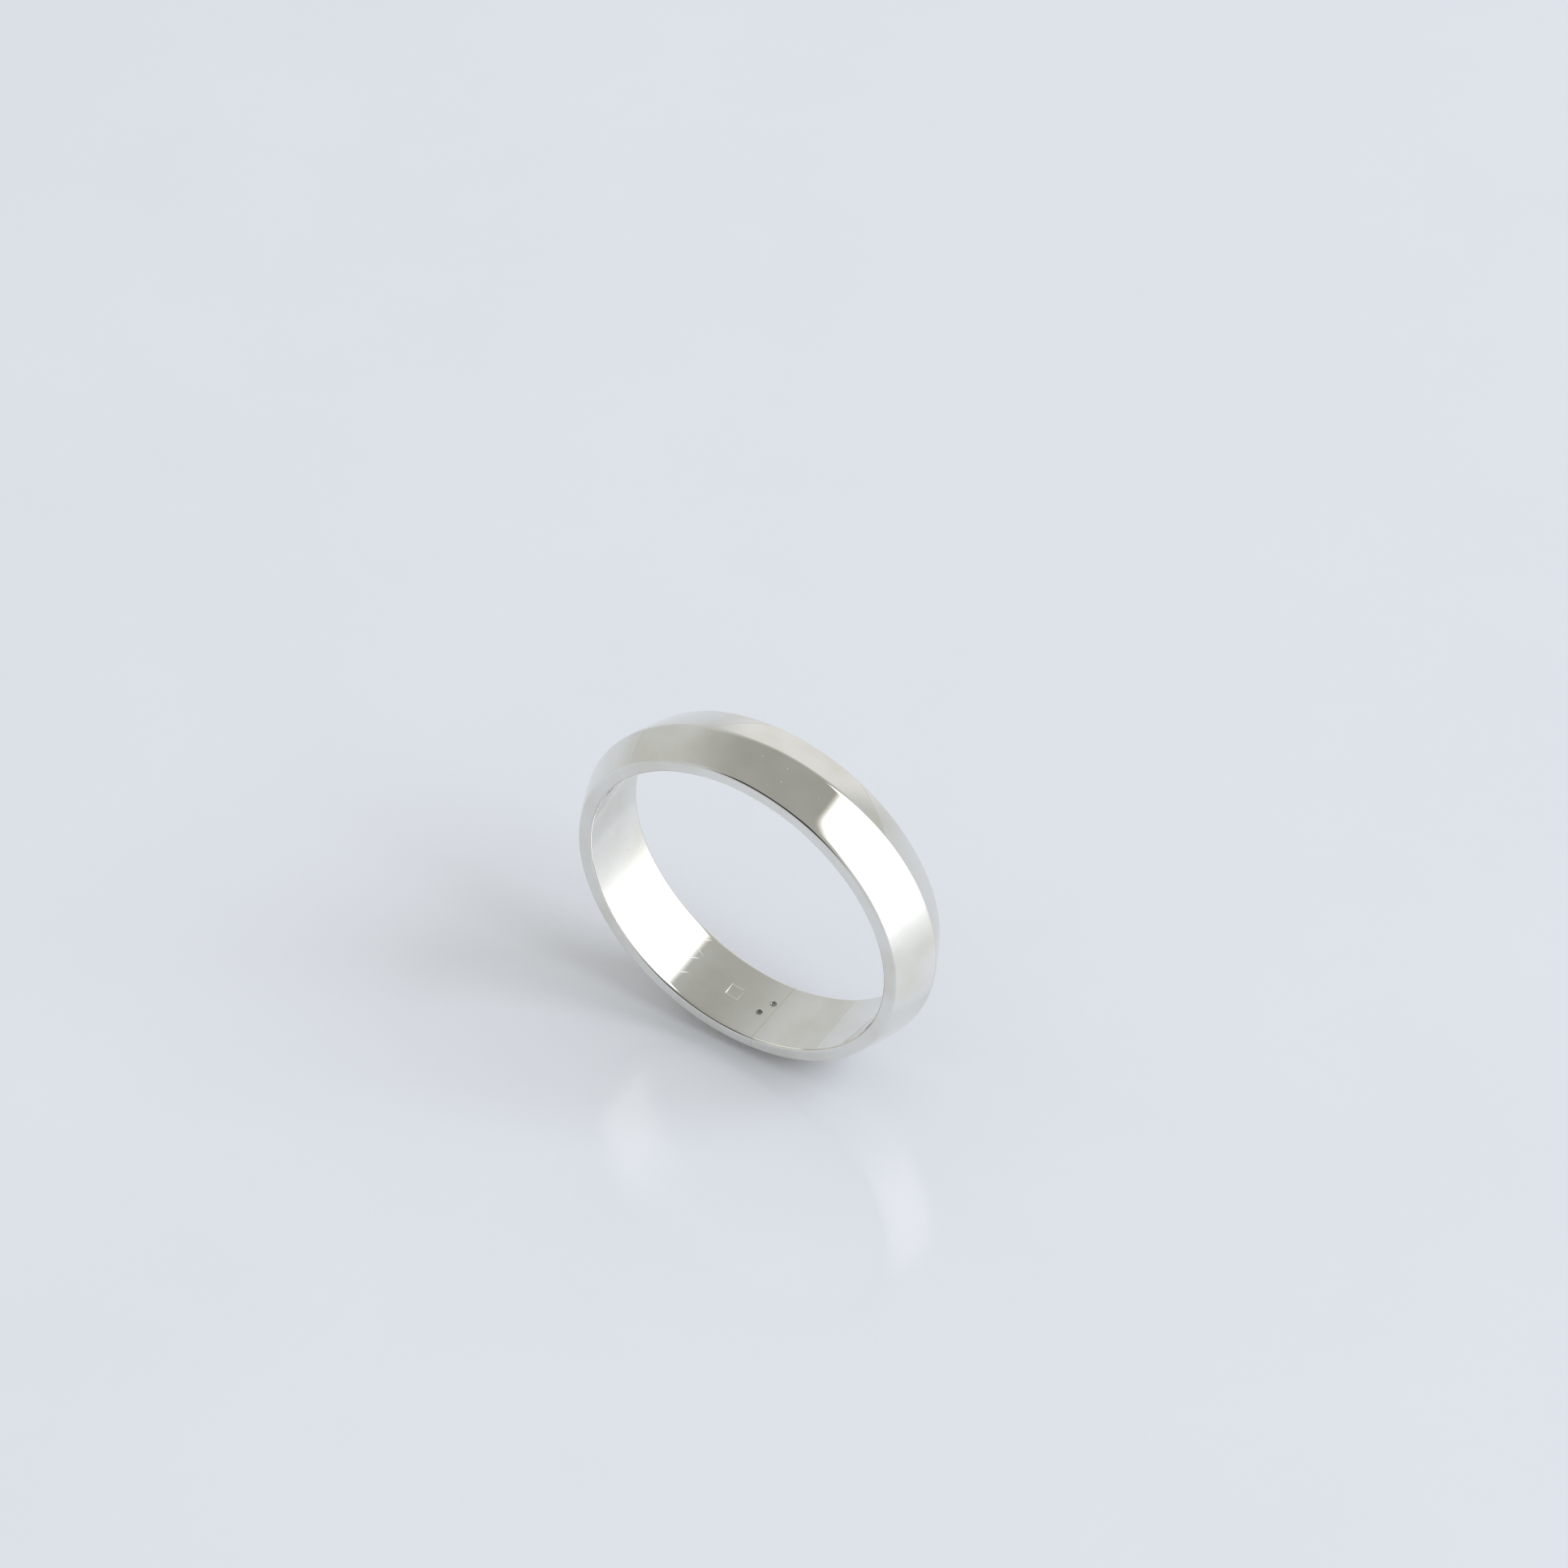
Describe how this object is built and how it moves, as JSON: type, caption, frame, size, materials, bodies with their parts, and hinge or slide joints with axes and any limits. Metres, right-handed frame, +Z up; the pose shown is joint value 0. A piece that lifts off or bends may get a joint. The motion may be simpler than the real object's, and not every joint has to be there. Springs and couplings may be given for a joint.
{
  "type": "wedding band",
  "caption": "Plain polished silver wedding band with a knife-edge crest, two sloping facets and a flat bore, for wearing on a finger.",
  "frame": {"origin": "centre of the finger hole, halfway across the band's width", "axes": "+Y along the finger hole's axis, +Z up with the band standing on its crest, the solder joint near -Z"},
  "size_m": [0.0216, 0.0044, 0.0216],
  "materials": {
    "polished_silver": "mirror polished with fine wear scratches",
    "silver_solder": "polished flush with the band, a shade warmer"
  },
  "bodies": {
    "root": {"band": "polished_silver", "solder_seam": "silver_solder"}
  },
  "joints": []
}
